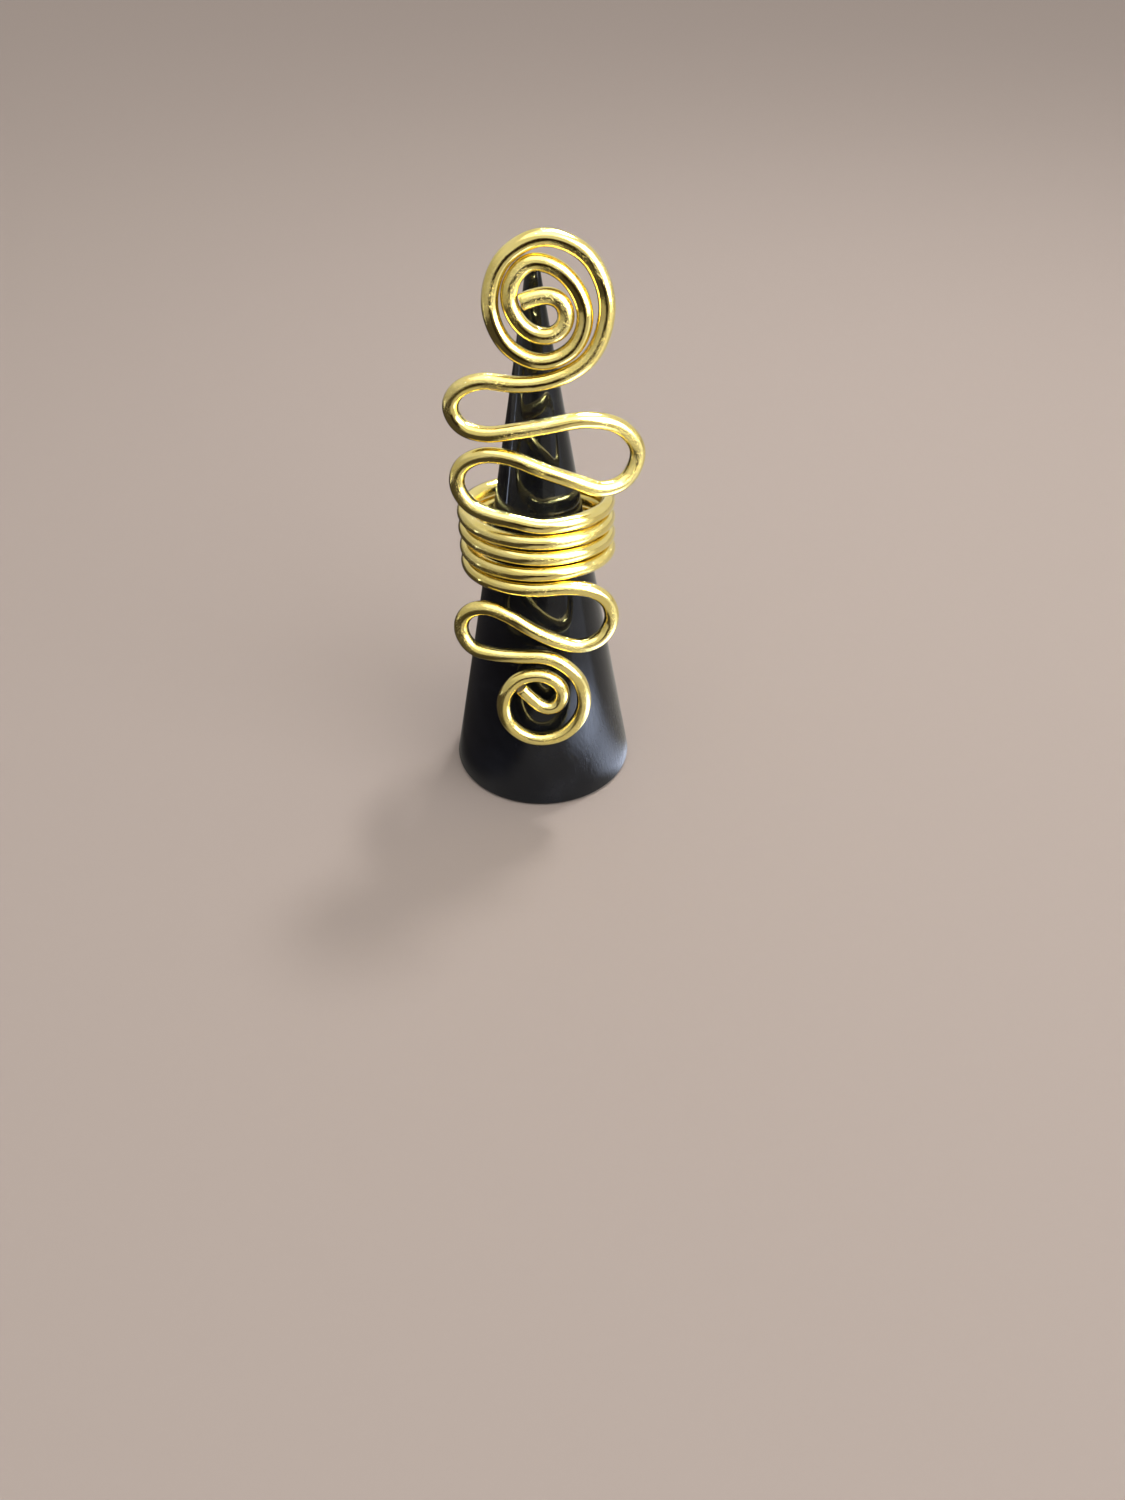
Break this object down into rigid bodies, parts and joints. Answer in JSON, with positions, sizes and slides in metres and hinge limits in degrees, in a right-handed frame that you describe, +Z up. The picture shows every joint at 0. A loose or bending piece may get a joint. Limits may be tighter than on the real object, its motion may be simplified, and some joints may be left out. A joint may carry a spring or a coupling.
{
  "type": "wire ring on display cone",
  "caption": "Full-finger ring bent from round gold-coloured wire, with a coiled finger band, side bends and spiral ends, lifting off a black tapered display cone.",
  "frame": {"origin": "centre of the cone's flat base, on the surface it stands on", "axes": "+Z up along the cone axis, -Y towards the front of the ring, +X to the ring's right seen from the front"},
  "size_m": [0.0251, 0.0251, 0.0742],
  "materials": {
    "cone": "polished black acrylic",
    "wire": "bright gold anodised round wire"
  },
  "bodies": {
    "stand": {"display_cone": "cone"},
    "ring": {"upper_spiral": "wire", "upper_bends": "wire", "finger_band": "wire", "lower_bends": "wire", "lower_spiral": "wire"}
  },
  "joints": [
    {"name": "ring_lift", "type": "slide", "parent": "stand", "child": "ring", "axis": [0, 0, 1], "range_m": [0, 0.065]}
  ]
}
